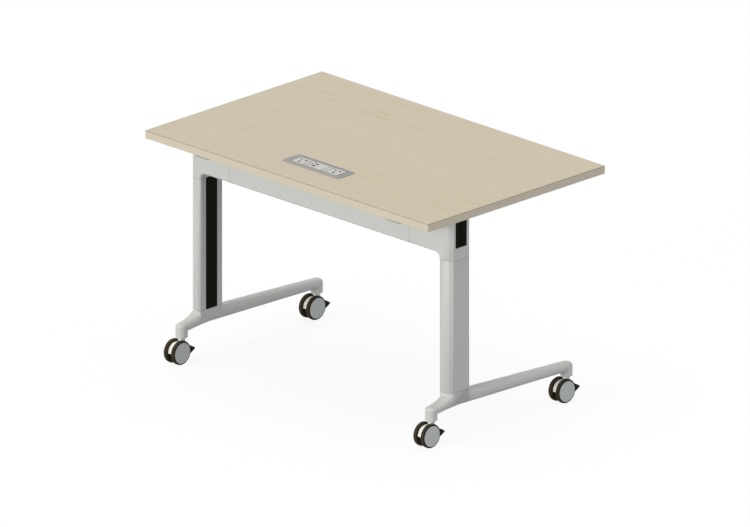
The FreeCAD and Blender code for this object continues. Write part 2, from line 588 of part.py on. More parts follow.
def make_castings():
    """The corner that joins beam and column, with the knuckle of the pivot and the ears of the rest."""
    body = new_body("Casting")
    half = "ColumnDepth / 2"
    outer_far = f"({COLUMN_Y} + {half} - {OUTER_RISE})"
    pad(body, outline(sketch(body, "XY_Plane", COLUMN_TOP), [
        (INNER_X, NEAR_FACE), (BOW_X, NEAR_FACE, "BowRadius", 1),
        (OUTER_X, f"{COLUMN_Y} - {half} + {OUTER_RISE}"), (OUTER_X, outer_far, "BowRadius", 1),
        (INNER_X, f"{COLUMN_Y} + {half} - {INNER_RISE}")]), f"{HEAD_TOP} - {COLUMN_TOP}")
    middle_x, middle_y = amount(COLUMN_X), amount(COLUMN_Y)
    round_edges(body, "OuterEdgeRadius", lambda edge: upright(edge) and edge.BoundBox.XMin > middle_x)
    round_edges(body, "EdgeRadius", lambda edge: upright(edge) and edge.BoundBox.XMax < middle_x
                and edge.BoundBox.YMin > middle_y)
    gusset = f"({HEAD_TOP} - {BEAM_TOP})"
    lap = f"({INNER_X} + BeamWall)"
    pad(body, outline(sketch(body, "XZ_Plane", f"-{NEAR_FACE}"), [
        (SEAM_X, BEAM_BOTTOM), (f"{INNER_X} - CornerRadius", BEAM_BOTTOM, "CornerRadius", -1),
        (INNER_X, COLUMN_TOP), (lap, COLUMN_TOP), (lap, HEAD_TOP), (INNER_X, HEAD_TOP, gusset, -1),
        (f"{INNER_X} - {gusset}", BEAM_TOP), (SEAM_X, BEAM_TOP)]), "BeamDepth", reverse=True)
    round_edges(body, "EdgeRadius", on_lower_edge)
    pad(body, beam_outline(sketch(body, "YZ_Plane", SEAM_X), "(BeamWall + SideClearance)"), "SpigotLength",
        reverse=True)
    knuckle_width = "(ArmWidth - 2 * ArmWall - 2 * KnuckleGap)"
    near, far = f"({PIVOT_Y} - KnuckleRadius)", f"({PIVOT_Y} + KnuckleRadius)"
    pad(body, outline(sketch(body, "YZ_Plane", f"{ARM_X} - {knuckle_width} / 2"), [
        (near, f"{BEAM_TOP} - BeamWall"), (far, f"{BEAM_TOP} - BeamWall"),
        (far, PIVOT_Z, "KnuckleRadius", 1), (PIVOT_Y, f"{PIVOT_Z} + KnuckleRadius", "KnuckleRadius", 1),
        (near, PIVOT_Z)]), knuckle_width)
    ears = sketch(body, "XY_Plane", BEAM_TOP)
    for end in (-1, 1):
        x, y = ear_corner(1, end)
        rectangle(ears, x, y, f"{x} + EarWidth", f"{y} + EarDepth")
    pad(body, ears, f"{EAR_TOP} - {BEAM_TOP}")
    bores = circle(sketch(body, "YZ_Plane", f"{ARM_X} - ArmWidth"), PIVOT_Y, PIVOT_Z, PIN_BORE)
    circle(bores, STRIKER_Y, STRIKER_Z, "StrikerRadius + RunningClearance")
    pocket(body, bores, f"{INNER_X} - {ARM_X}", reverse=True)
    pocket(body, rectangle(sketch(body, "YZ_Plane", OUTER_X), f"{COLUMN_Y} - WindowWidth / 2",
                           f"{COLUMN_TOP} + WindowSill", f"{COLUMN_Y} + WindowWidth / 2",
                           f"{HEAD_TOP} - WindowTop"), "WindowDepth")
    node(body, "right_corner_casting")
    node(mirrored(body), "left_corner_casting")


def make_head_covers():
    """A black cover in the window of each casting, parted by a slot for cables."""
    plate = box(f"{OUTER_X} - WindowDepth", f"{COLUMN_Y} - WindowWidth / 2 + WindowGap",
                f"{COLUMN_TOP} + WindowSill + WindowGap", "WindowCover", "WindowWidth - 2 * WindowGap",
                f"{HEAD_TOP} - WindowTop - {COLUMN_TOP} - WindowSill - 2 * WindowGap")
    slot = box(f"{OUTER_X} - WindowDepth + WindowCover / 2", f"{COLUMN_Y} - 2 * WindowSlot",
               f"{COLUMN_TOP} + WindowSill", "WindowCover", "WindowSlot",
               f"{HEAD_TOP} - {COLUMN_TOP} - WindowSill")
    cover = cut(plate, slot)
    node(group(cover, mirrored(cover)), "head_covers")


# Columns with their cable channels and covers

def make_columns():
    body = new_body("Column")
    height = f"({COLUMN_TOP} - FootHeight)"
    pad(body, column_outline(sketch(body, "XY_Plane")), height)
    round_column(body)
    channel = rectangle(sketch(body, "XY_Plane"), "-ColumnWidth / 2", "-ChannelWidth / 2",
                        "-ColumnWidth / 2 + ChannelDepth", "ChannelWidth / 2")
    for end in (-1, 1):
        circle(channel, "CoreInset", f"{end} * CoreOffset", "CoreRadius")
    pocket(body, channel, height, reverse=True)
    node(place(body, COLUMN_X, COLUMN_Y, "FootHeight"), "right_column")
    node(mirrored(body), "left_column")


def make_cable_covers():
    body = new_body("Cover")
    half = "(ChannelWidth / 2 - CoverGap)"
    inside = "(CoverThickness + CoverLegLength)"
    pad(body, outline(sketch(body, "XY_Plane"), [
        ("0", f"-{half}"), (inside, f"-{half}"), (inside, f"-{half} + CoverLegThickness"),
        ("CoverThickness", f"-{half} + CoverLegThickness"),
        ("CoverThickness", f"{half} - CoverLegThickness"),
        (inside, f"{half} - CoverLegThickness"), (inside, half), ("0", half)]),
        f"{COLUMN_TOP} - FootHeight")
    node(place(body, INNER_X, COLUMN_Y, "FootHeight"), "right_cable_cover")
    node(mirrored(body), "left_cable_cover")


# Feet: a platform under the column and two arms that run out to the caster posts

def cross_section(y, z, width, height, radius):
    """A rounded rectangle across a foot's arm, upright in the XZ plane about its own centre."""
    drawing = doc.addObject("Sketcher::SketchObject", "Section")
    side, rise = f"({width}) / 2", f"({height}) / 2"
    short_side, short_rise = f"(({width}) / 2 - {radius})", f"(({height}) / 2 - {radius})"
    outline(drawing, [
        (f"-{short_side}", f"-{rise}"), (short_side, f"-{rise}", radius, 1), (side, f"-{short_rise}"),
        (side, short_rise, radius, 1), (short_side, rise), (f"-{short_side}", rise, radius, 1),
        (f"-{side}", short_rise), (f"-{side}", f"-{short_rise}", radius, 1)])
    drawing.Placement = Placement(Vector(), Rotation(Vector(1, 0, 0), 90))
    return place(drawing, COLUMN_X, y, z)


def loft(*sections):
    skin = doc.addObject("Part::Loft", "Loft")
    skin.Sections = list(sections)
    skin.Solid = True
    return skin


def make_post(y):
    """A round post with a low domed top that ends a foot's arm."""
    shaft = rod("z", COLUMN_X, y, "PostBottom", "PostRadius", "PostTop - PostBottom")
    dome = doc.addObject("Part::Ellipsoid", "Dome")
    bind(dome, Radius1="DomeHeight", Radius2="PostRadius", Radius3="PostRadius")
    dome.Angle1 = 0
    return shaft, place(dome, COLUMN_X, y, "PostTop")


def make_feet():
    body = new_body("Platform")
    pad(body, column_outline(sketch(body, "XY_Plane")), "PlatformDepth", reverse=True)
    round_column(body)
    place(body, COLUMN_X, COLUMN_Y, "FootHeight")
    near, far = f"({COLUMN_Y} - NearReach)", f"({COLUMN_Y} + FarReach)"
    root = (COLUMN_Y, "FootHeight - RootDrop - RootHeight / 2", "RootWidth", "RootHeight", "RootRound")
    end = ("ArmEndCentre", "2 * PostRadius - ArmEndInset", "ArmEndHeight", "ArmEndRound")
    neck = (f"{COLUMN_Y} - NeckReach", "NeckCentre", "NeckWidth", "NeckHeight", "NeckRound")
    shoulder = (f"{COLUMN_Y} - ShoulderReach", "ShoulderCentre", "ShoulderWidth", "ShoulderHeight",
                "ShoulderRound")
    middle, bend = cross_section(*root), cross_section(*neck)
    heel = loft(middle, bend)
    near_arm = loft(bend, cross_section(*shoulder), cross_section(near, *end))
    far_arm = loft(middle, cross_section(far, *end))
    foot = fuse(body, heel, near_arm, far_arm, *make_post(near), *make_post(far))
    foot.Refine = False
    sockets = [rod("z", COLUMN_X, y, "PostBottom", "StemRadius + RunningClearance",
                   "StemTop - PostBottom + RunningClearance") for y in (near, far)]
    bored = cut(foot, *sockets)
    bored.Refine = False
    node(bored, "right_foot")
    node(mirrored(nodes[-1]), "left_foot")


# Casters: a hood between two wheels, a stem, an axle and a brake pedal. Each is drawn about the stem's
# axis on the floor and then moved to its corner.

AXLE_Y = "(-Trail)"
WHEEL_INNER = "(HoodWidth / 2 + WheelGap)"


def make_hood(corner):
    body = new_body("Hood")
    crown = "(WheelRadius + sqrt(HoodRadius^2 - (Trail - BossRadius)^2))"
    front = "(WheelRadius + sqrt(HoodRadius^2 - (Trail + BossRadius)^2))"
    pad(body, outline(sketch(body, "YZ_Plane"), [
        (f"{AXLE_Y} - HoodRadius", "WheelRadius"),
        (f"{AXLE_Y} - AxleBoss", "WheelRadius", "AxleBoss", 1),
        (AXLE_Y, "WheelRadius - AxleBoss", "AxleBoss", 1),
        (f"{AXLE_Y} + AxleBoss", "WheelRadius"),
        (f"{AXLE_Y} + HoodRadius", "WheelRadius", "HoodRadius", 1),
        ("BossRadius", front), ("BossRadius", "BossTop"), ("-BossRadius", "BossTop"),
        ("-BossRadius", crown, "HoodRadius", 1)]), "HoodWidth", symmetric=True)
    collar_top = "(PostBottom - CollarGap)"
    pad(body, circle(sketch(body, "XY_Plane", "BossTop"), "0", "0", "CollarRadius"),
        f"{collar_top} - BossTop")
    pocket(body, rectangle(sketch(body, "YZ_Plane"), "SlotBack", "WheelRadius - AxleBoss", "2 * HoodRadius",
                           "SlotTop"), "SlotWidth", symmetric=True)
    bores = circle(sketch(body, "YZ_Plane"), AXLE_Y, "WheelRadius", "AxleRadius + RunningClearance")
    circle(bores, "PedalPivotY", "PedalPivotZ", "TrunnionRadius + RunningClearance")
    pocket(body, bores, "2 * HoodWidth", symmetric=True)
    pocket(body, circle(sketch(body, "XY_Plane", collar_top), "0", "0", "StemRadius + RunningClearance"),
           f"{collar_top} - StemBottom")
    node(place(body, *corner[1:]), corner[0] + "_caster_hood")


def make_stem(corner):
    """The steel stem, with a tapered lead-in at its top."""
    body = new_body("Stem")
    pad(body, circle(sketch(body, "XY_Plane", "StemBottom"), "0", "0", "StemRadius"),
        "StemTop - StemBottom")
    chamfer = body.newObject("PartDesign::Chamfer", "Chamfer")
    top = [f"Edge{i}" for i, edge in enumerate(body.Shape.Edges, start=1)
           if edge.BoundBox.ZMin > amount("StemTop") - 1e-6]
    chamfer.Base = (chamfer.BaseFeature, top)
    bind(chamfer, Size="GuideChamfer")
    node(place(body, *corner[1:]), corner[0] + "_caster_stem")


def make_axle(corner):
    axle = rod("x", f"{corner[1]} - AxleLength / 2", f"{corner[2]} + {AXLE_Y}", "WheelRadius", "AxleRadius",
               "AxleLength")
    node(axle, corner[0] + "_caster_axle")


def make_pedal(corner):
    body = new_body("Pedal")
    low, high = "(PedalPivotZ - PedalEye)", "(PedalPivotZ + PedalEye)"
    pad(body, circle(sketch(body, "YZ_Plane"), "PedalPivotY", "PedalPivotZ", "PedalEye"), "TongueWidth",
        symmetric=True)
    pad(body, rectangle(sketch(body, "YZ_Plane"), "PedalPivotY", low, "PedalHeel", high), "TongueWidth",
        symmetric=True)
    pad(body, outline(sketch(body, "YZ_Plane"), [
        ("PedalStart", "PedalBottom"), ("PedalHeel", "PedalBottom"),
        ("PedalTip", "PedalTipTop - PedalTipHeight"), ("PedalTip", "PedalTipTop"),
        ("PedalStart", "PedalTop")]), "PedalWidth", symmetric=True)
    pad(body, circle(sketch(body, "YZ_Plane"), "PedalPivotY", "PedalPivotZ", "TrunnionRadius"),
        "HoodWidth", symmetric=True)
    node(place(body, *corner[1:]), corner[0] + "_caster_pedal")


def make_wheels(corner):
    """Two wheels, each a dished hub with a closed cap and a tyre with rounded shoulders."""
    for side, hand in ((-1, "left"), (1, "right")):
        turn = Rotation(Vector(0, 0, 1), 0 if side > 0 else 180)
        where = (f"{corner[1]} + {side} * {WHEEL_INNER}", f"{corner[2]} + {AXLE_Y}", "WheelRadius")
        hub = new_body("Hub")
        web = "(WheelWidth - CapThickness)"
        hub_rim = "(CapRadius - RimThickness)"
        revolve(hub, outline(sketch(hub, "XY_Plane"), [
            ("0", "AxleRadius + RunningClearance"), ("0", "HubBoss"), (web, "HubBoss"), (web, hub_rim),
            ("RimInset", hub_rim), ("RimInset", "CapRadius"), ("WheelWidth", "CapRadius"),
            ("WheelWidth", "0"), ("AxleLength / 2 - HoodWidth / 2", "0"),
            ("AxleLength / 2 - HoodWidth / 2", "AxleRadius + RunningClearance")]))
        hub.Placement = Placement(Vector(), turn)
        node(place(hub, *where), f"{corner[0]}_caster_{hand}_hub")
        tyre = new_body("Tyre")
        shoulder = "(WheelRadius - TyreShoulder)"
        revolve(tyre, outline(sketch(tyre, "XY_Plane"), [
            ("0", "CapRadius + TyreFit"), ("WheelWidth", "CapRadius + TyreFit"),
            ("WheelWidth", shoulder, "TyreShoulder", 1),
            ("WheelWidth - TyreShoulder", "WheelRadius"),
            ("TyreShoulder", "WheelRadius", "TyreShoulder", 1), ("0", shoulder)]))
        tyre.Placement = Placement(Vector(), turn)
        node(place(tyre, *where), f"{corner[0]}_caster_{hand}_tyre")


def make_casters():
    for end, y in (("near", f"({COLUMN_Y} - NearReach)"), ("far", f"({COLUMN_Y} + FarReach)")):
        for hand, side in (("left", -1), ("right", 1)):
            corner = (f"{end}_{hand}", f"({side} * {COLUMN_X})", y)
            make_hood(corner)
            make_stem(corner)
            make_axle(corner)
            make_pedal(corner)
            make_wheels(corner)


make_board()
make_edge_band()
make_screws()
make_bezel()
make_module_faces()
make_housing()
make_inlet()
make_arm("left_top_arm", -1)
make_arm("right_top_arm", 1)
make_pins()
make_rest_pads()
make_latch()
make_beam()
make_castings()
make_head_covers()
make_columns()
make_cable_covers()
make_feet()
make_casters()
doc.recompute()

# Nothing is written unless every object and every sub-part is sound.
for item in doc.Objects:
    if "Invalid" in item.State or "Error" in item.State:
        raise RuntimeError(f"{item.Name} ({item.Label}) failed: {item.State}")
os.makedirs("parts", exist_ok=True)
for item in nodes:
    if item.Shape.isNull() or not item.Shape.isValid():
        raise RuntimeError(f"{item.Label} has no valid shape")
for item in nodes:
    item.Shape.exportStep(f"parts/{item.Label}.step")
    print(f"{item.Label}: {len(item.Shape.Solids)} solids, {item.Shape.Volume / 1000:.1f} cm3")
print(len(nodes), "nodes")
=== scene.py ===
# %% [markdown]
# # A flip-top meeting table on casters
#
# The table's shape, sizes and joints come from its CAD model, which is loaded first as a fixed frame.
# This lesson dresses that frame: it sets up the photograph's camera and light, gives every piece a
# procedural finish, and adds the small things that CAD leaves out, such as screw heads and port contacts.

# %% Load the frame
import math

import bmesh
import bpy
from mathutils import Matrix, Vector


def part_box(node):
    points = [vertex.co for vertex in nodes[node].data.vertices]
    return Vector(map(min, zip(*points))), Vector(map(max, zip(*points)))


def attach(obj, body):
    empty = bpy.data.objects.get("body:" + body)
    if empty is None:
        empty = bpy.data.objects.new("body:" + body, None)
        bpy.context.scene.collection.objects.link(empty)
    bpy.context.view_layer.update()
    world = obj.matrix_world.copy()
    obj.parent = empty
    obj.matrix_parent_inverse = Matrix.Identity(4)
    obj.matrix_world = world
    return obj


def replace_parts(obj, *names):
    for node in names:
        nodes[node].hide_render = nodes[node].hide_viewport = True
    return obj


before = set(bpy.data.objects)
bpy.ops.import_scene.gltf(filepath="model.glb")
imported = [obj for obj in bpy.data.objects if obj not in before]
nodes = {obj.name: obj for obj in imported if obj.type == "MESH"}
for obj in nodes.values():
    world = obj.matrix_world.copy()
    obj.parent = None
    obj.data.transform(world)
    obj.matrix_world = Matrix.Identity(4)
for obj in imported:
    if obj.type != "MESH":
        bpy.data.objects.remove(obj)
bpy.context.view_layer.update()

# %% [markdown]
# ## Camera
#
# The photograph has no perspective: parallel edges stay parallel, so the camera is orthographic.
# Its direction follows from how the three axes of the top slope in the picture, and the scale from the
# length of the top. A long lens far away would come close, but would never be exactly parallel.

# %% Camera
VIEW_FROM = Vector((1, -1, 0.5)).normalized()
LOOK_AT = Vector((0, 0, 0.3725))
IMAGE_WIDTH_PIXELS = 750
METRES_PER_PIXEL = 0.003
CAMERA_DISTANCE = 5.0

camera_data = bpy.data.cameras.new("photo_camera")
camera_data.type = "ORTHO"
camera_data.ortho_scale = IMAGE_WIDTH_PIXELS * METRES_PER_PIXEL
camera = bpy.data.objects.new("photo_camera", camera_data)
camera.location = LOOK_AT + VIEW_FROM * CAMERA_DISTANCE
camera.rotation_euler = VIEW_FROM.to_track_quat("Z", "Y").to_euler()
bpy.context.scene.collection.objects.link(camera)
bpy.context.scene.camera = camera
print(f"camera sees {camera_data.ortho_scale:.2f} m across")

# %% [markdown]
# ## Shader maths
#
# A finish is a small program made of nodes. Wiring nodes one by one is hard to read, so a socket is
# wrapped in a class with arithmetic operators: `0.4 + 0.1 * grain` then adds the Math nodes by itself.
# Every other node comes from one method that takes its type, its settings and what its sockets get.

# %% Values and finishes
EDGE_TURN = (0.02, 0.25)  # 1 minus the product of two normals, where an edge starts and where it is full


class Value:
    """A socket of a node tree that can be used in arithmetic."""

    def __init__(self, finish, socket):
        self.finish = finish
        self.socket = socket

    def math(self, operation, first, second):
        return self.finish.node("ShaderNodeMath", {"operation": operation}, {0: first, 1: second})

    def __add__(self, other):
        return self.math("ADD", self, other)

    def __sub__(self, other):
        return self.math("SUBTRACT", self, other)

    def __rsub__(self, other):
        return self.math("SUBTRACT", other, self)

    def __mul__(self, other):
        return self.math("MULTIPLY", self, other)

    def __gt__(self, other):
        return self.math("GREATER_THAN", self, other)

    def __lt__(self, other):
        return self.math("LESS_THAN", self, other)

    def __abs__(self):
        return self.math("ABSOLUTE", self, 0.0)

    __radd__ = __add__
    __rmul__ = __mul__


class Finish:
    """A material with one Principled shader."""

    def __init__(self, name):
        self.material = bpy.data.materials.new(name)
        self.material.use_nodes = True
        self.tree = self.material.node_tree
        self.shader = self.tree.nodes["Principled BSDF"]

    def feed(self, socket, value):
        if isinstance(value, Value):
            self.tree.links.new(value.socket, socket)
        else:
            socket.default_value = value

    def node(self, kind, settings=None, sockets=None, output=0):
        made = self.tree.nodes.new(kind)
        for name, setting in (settings or {}).items():
            setattr(made, name, setting)
        for name, value in (sockets or {}).items():
            self.feed(made.inputs[name], value)
        return Value(self, made.outputs[output])

    def place(self):
        """The point on the surface, in metres, in the table's own frame."""
        return self.node("ShaderNodeTexCoord", output="Object")

    def axis(self, name):
        return self.node("ShaderNodeSeparateXYZ", sockets={0: self.place()}, output=name)

    def normal(self):
        """The direction that the surface faces."""
        return self.node("ShaderNodeNewGeometry", output="Normal")

    def vector(self, operation, *values, output=0):
        return self.node("ShaderNodeVectorMath", {"operation": operation}, dict(enumerate(values)), output)

    def noise(self, scale, detail=3.0, roughness=0.5):
        """Noise with so many waves a metre along X, Y and Z, from 0 to 1."""
        stretched = self.vector("MULTIPLY", self.place(), scale)
        return self.node("ShaderNodeTexNoise", sockets={"Vector": stretched, "Scale": 1.0,
                                                        "Detail": detail, "Roughness": roughness})

    def spread(self, value, low, high):
        """Stretch the part of a value between low and high over 0 to 1."""
        return self.node("ShaderNodeMapRange", {"clamp": True},
                         {"Value": value, "From Min": low, "From Max": high})

    def tint(self, factor, first, second):
        """One colour where the factor is 0, another where it is 1."""
        return self.node("ShaderNodeMix", {"data_type": "RGBA"}, {0: factor, 6: first, 7: second}, output=2)

    def edges(self, radius):
        """1 where a sharp edge lies within the radius, 0 on open faces."""
        rounded = self.node("ShaderNodeBevel", {"samples": 4}, {"Radius": radius})
        match = self.vector("DOT_PRODUCT", rounded, self.normal(), output="Value")
        return self.spread(1 - match, *EDGE_TURN)

    def line(self, value, place, width):
        """1 within half a width of a place along an axis, 0 beyond it."""
        return 1 - (abs(value - place) > width / 2)

    def bump(self, height, depth, normal=None):
        """Tilt the surface by a height pattern that is so many metres deep."""
        sockets = {"Height": height, "Strength": 1.0, "Distance": depth}
        if normal is not None:
            sockets["Normal"] = normal
        return self.node("ShaderNodeBump", sockets=sockets)

    def wear(self, colour, roughness, metallic=0.0, normal=None, **constants):
        """Connect what varies to the shader, and set what is the same all over."""
        self.feed(self.shader.inputs["Base Color"], colour)
        self.feed(self.shader.inputs["Roughness"], roughness)
        self.feed(self.shader.inputs["Metallic"], metallic)
        if normal is not None:
            self.feed(self.shader.inputs["Normal"], normal)
        for name, constant in constants.items():
            self.shader.inputs[name.replace("_", " ")].default_value = constant
        return self.material


def paint(names, finish):
    """Give CAD nodes a finish."""
    for name in names:
        mesh = nodes[name].data
        mesh.materials.clear()
        mesh.materials.append(finish)
    print(f"{finish.name}: {len(names)} nodes")


def named(*endings):
    """The CAD nodes whose names end in one of these words."""
    return [name for name in nodes if name.endswith(endings)]


print(f"{len(named('caster_hood'))} casters and {len(named('_column'))} columns found by name")

# %% [markdown]
# ## Soft edges
#
# No sawn, cast or moulded edge is perfectly sharp, and it is the thin highlight on an edge that tells the
# eye so. A bevel modifier rounds the sharp edges without touching the CAD mesh. The CAD mesh comes in one
# island for each face, so its points are welded first and its flat triangles merged.

# %% Soft edges
WELD_DISTANCE = 1e-6
FLAT_ANGLE, SHARP_ANGLE = math.radians(0.5), math.radians(40)


def soften(names, width):
    """Round the sharp edges of CAD nodes by a width in metres."""
    for name in names:
        stack = nodes[name].modifiers
        weld = stack.new("join_faces", "WELD")
        weld.merge_threshold = WELD_DISTANCE
        merge = stack.new("merge_flats", "DECIMATE")
        merge.decimate_type = "DISSOLVE"
        merge.angle_limit = FLAT_ANGLE
        bevel = stack.new("soft_edge", "BEVEL")
        bevel.width = width
        bevel.segments = 2
        bevel.limit_method = "ANGLE"
        bevel.angle_limit = SHARP_ANGLE
        bevel.harden_normals = True
    print(f"{len(names)} nodes with edges of {1000 * width:.1f} mm")


soften(["crossbeam"] + named("corner_casting", "_column", "cable_cover"), 0.0006)
soften(["head_covers", "latch_handle", "module_housing", "power_inlet"] + named("top_arm"), 0.0005)
soften(["socket_plates", "filler_strips", "data_unit"], 0.0002)
soften(named("caster_pedal", "caster_hood"), 0.0008)

# %% [markdown]
# ## Light and floor
#
# The picture looks like a plain studio: white all round, the near faces brightest, the right-hand faces
# darkest and hardly a shadow. An even white world does most of it. Four broad suns then set how bright
# each direction is: a low one from the near side, weak ones from the right and from the far side, and one
# from above. Low suns reach under the top, where one high lamp would leave the frame in shade.

# %% World, suns and floor
AMBIENT = 0.50
SUNS = {  # name: (direction to the lamp, strength on a white face that looks at it, apparent width, colour)
    "near_sun": ((-0.08, -1.0, 0.12), 0.87, 40, (1.0, 0.985, 0.95)),
    "right_sun": ((1.0, 0.25, 0.10), 0.26, 40, (0.97, 1.0, 1.0)),
    "far_sun": ((-0.7, 0.9, 0.10), 0.30, 40, (1.0, 1.0, 1.0)),
    "top_sun": ((-0.1, 0.0, 1.0), 0.34, 60, (1.0, 1.0, 1.0)),
}
WHITE = (1.0, 1.0, 1.0, 1.0)

bpy.context.scene.view_settings.view_transform = "Standard"


def seen_directly(finish):
    """1 for rays that show the background itself: straight to the camera, by mirror or through glass."""
    straight = finish.node("ShaderNodeLightPath", output="Is Camera Ray")
    mirrored = finish.node("ShaderNodeLightPath", output="Is Glossy Ray")
    through = finish.node("ShaderNodeLightPath", output="Is Transmission Ray")
    return finish.node("ShaderNodeMath", {"operation": "ADD", "use_clamp": True},
                       {0: straight + mirrored, 1: through})


class Sky(Finish):
    """The world's node tree, built with the same methods as a finish."""

    def __init__(self, world):
        self.tree = world.node_tree


world = bpy.data.worlds.new("studio")
world.use_nodes = True
world.node_tree.nodes.clear()
sky = Sky(world)
glow = sky.node("ShaderNodeBackground", sockets={"Color": WHITE, "Strength": AMBIENT})
backdrop = sky.node("ShaderNodeBackground", sockets={"Color": WHITE, "Strength": 1.0})
shown = sky.node("ShaderNodeMixShader", sockets={0: seen_directly(sky), 1: glow, 2: backdrop})
sky.feed(world.node_tree.nodes.new("ShaderNodeOutputWorld").inputs["Surface"], shown)
bpy.context.scene.world = world

for name, (direction, strength, width, colour) in SUNS.items():
    lamp = bpy.data.lights.new(name, "SUN")
    lamp.color = colour
    lamp.energy = strength * math.pi
    lamp.angle = math.radians(width)
    sun = bpy.data.objects.new(name, lamp)
    sun.rotation_euler = Vector(direction).to_track_quat("Z", "Y").to_euler()
    sun.visible_glossy = name != "far_sun"  # its mirror image would lie on the top
    bpy.context.scene.collection.objects.link(sun)

FLOOR_SIZE = 30.0
FLOOR_GLOW = 0.88
FLOOR_GREY = (0.23, 0.26, 0.285, 1.0)

floor_mesh = bpy.data.meshes.new("floor")
half = FLOOR_SIZE / 2
floor_mesh.from_pydata([(-half, -half, 0), (half, -half, 0), (half, half, 0), (-half, half, 0)], [],
                       [(0, 1, 2, 3)])
floor = bpy.data.objects.new("floor", floor_mesh)
bpy.context.scene.collection.objects.link(floor)

floor_finish = Finish("pale_floor")
matt = floor_finish.node("ShaderNodeBsdfDiffuse", sockets={"Color": WHITE})
light = floor_finish.node("ShaderNodeEmission", sockets={"Color": WHITE, "Strength": 1.0})
shown_floor = floor_finish.node("ShaderNodeMixShader", sockets={0: FLOOR_GLOW, 1: matt, 2: light})
bounce = floor_finish.node("ShaderNodeBsdfDiffuse", sockets={"Color": FLOOR_GREY})
floor_surface = floor_finish.node("ShaderNodeMixShader", sockets={0: seen_directly(floor_finish), 1: bounce,
                                                                  2: shown_floor})
floor_finish.feed(floor_finish.tree.nodes["Material Output"].inputs["Surface"], floor_surface)
floor_mesh.materials.append(floor_finish.material)
print(f"{len(SUNS)} suns, floor {FLOOR_SIZE:.0f} m wide")

# %% [markdown]
# ## Maple laminate
#
# The board is faced with melamine printed as pale maple. Its grain runs along the length: wide faint
# streaks, a narrower figure, clusters of short yellowish flecks and very fine pores, all close in colour.
# Noise stretched along X gives each of them at its own width, and one noise times another gathers the
# flecks. A wood image would repeat; noise in metres does not.

# %% Board
def maple_laminate():
    finish = Finish("maple_laminate")
    streak = finish.noise((0.9, 10.0, 10.0), detail=3.0)
    figure = finish.noise((2.5, 70.0, 70.0), detail=4.0, roughness=0.6)
    cluster = finish.noise((1.6, 7.0, 7.0), detail=2.0)
    fleck = finish.noise((7.0, 46.0, 46.0), detail=4.0, roughness=0.65)
    pores = finish.noise((14.0, 900.0, 900.0), detail=2.0)
    warm = finish.tint(finish.spread(streak, 0.36, 0.64), (0.536, 0.469, 0.357, 1), (0.534, 0.458, 0.329, 1))
    drawn = finish.tint(finish.spread(figure, 0.35, 0.75) * 0.35, warm, (0.500, 0.424, 0.310, 1))
    marks = finish.spread(fleck, 0.50, 0.72) * finish.spread(cluster, 0.40, 0.62)
    flecked = finish.tint(marks * 0.75, drawn, (0.486, 0.385, 0.225, 1))
    fine = finish.tint(finish.spread(pores, 0.55, 0.8) * 0.25, flecked, (0.44, 0.37, 0.26, 1))
    return finish.wear(fine, 0.46 + 0.08 * pores, normal=finish.bump(pores, 0.00003), IOR=1.45)


paint(["table_board"], maple_laminate())

# %% [markdown]
# ## Edge band
#
# A thin plastic strip covers each cut edge of the board. It is printed a shade lighter than the top, and
# its corner shows as a fine darker line where strip and laminate meet.

# %% Edge band
LINE_WIDTH = 0.0026


def maple_edge():
    finish = Finish("maple_edge_band")
    figure = finish.noise((3.0, 3.0, 260.0), detail=3.0)
    base = finish.tint(finish.spread(figure, 0.3, 0.75), (0.592, 0.521, 0.413, 1), (0.564, 0.493, 0.384, 1))
    corner = finish.axis("Z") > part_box("edge_banding")[1].z - LINE_WIDTH
    colour = finish.tint(corner * 0.75, base, (0.34, 0.27, 0.18, 1))
    return finish.wear(colour, 0.42 + 0.06 * figure, normal=finish.bump(figure, 0.00002))


paint(["edge_banding"], maple_edge())

# %% [markdown]
# ## Silver powder coat
#
# Beam, castings and feet are coated in a pale silver powder. Such a coat has a fine orange-peel skin, a
# satin sheen, and wears a little lighter along its edges. Thin grey lines mark the joints between the
# pieces and the sides of each bowed leg. In the picture the outer side of a foot leans in under its
# column. The mesh is upright there, so the finish turns the surface's direction down instead, and the
# side takes the darker light of the floor.

# %% Castings, beam and feet
SEAM_WIDTH = 0.0016
SEAM_GREY = (0.30, 0.305, 0.30, 1)
NOSE_HALF_WIDTH = 0.0165
ROOT_START, ROOT_BLEND = 0.040, 0.030  # where the leaning side starts, from the column's near side
ROOT_END, ROOT_FADE = -0.003, 0.026  # where it ends, from the column's far side
ROOT_SLANT, ROOT_LEAN = 1.33, 0.52
LINE_STRENGTH, SEAM_STRENGTH = 0.45, 0.8


def seams(finish):
    """1 on the joints between beam and castings, castings and columns, columns and feet."""
    beam_end = finish.line(abs(finish.axis("X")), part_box("crossbeam")[1].x, SEAM_WIDTH)
    low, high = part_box("right_column")
    height = finish.axis("Z")
    column_ends = finish.line(height, low.z, SEAM_WIDTH) + finish.line(height, high.z, SEAM_WIDTH)
    return finish.node("ShaderNodeMath", {"operation": "MAXIMUM"}, {0: beam_end, 1: column_ends})


def nose_lines(finish):
    """1 on the fine lines where a leg's bowed nose meets its rounded corners, above its foot.

    A casting has only the outer line, because its inner side runs on into the beam.
    """
    low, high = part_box("right_column")
    height = finish.axis("Z")
    outward = abs(finish.axis("X")) - (low.x + high.x) / 2
    plain = (outward < 0.0) * (height > high.z)
    return finish.line(abs(outward), NOSE_HALF_WIDTH, SEAM_WIDTH) * (height > low.z) * (1 - plain)


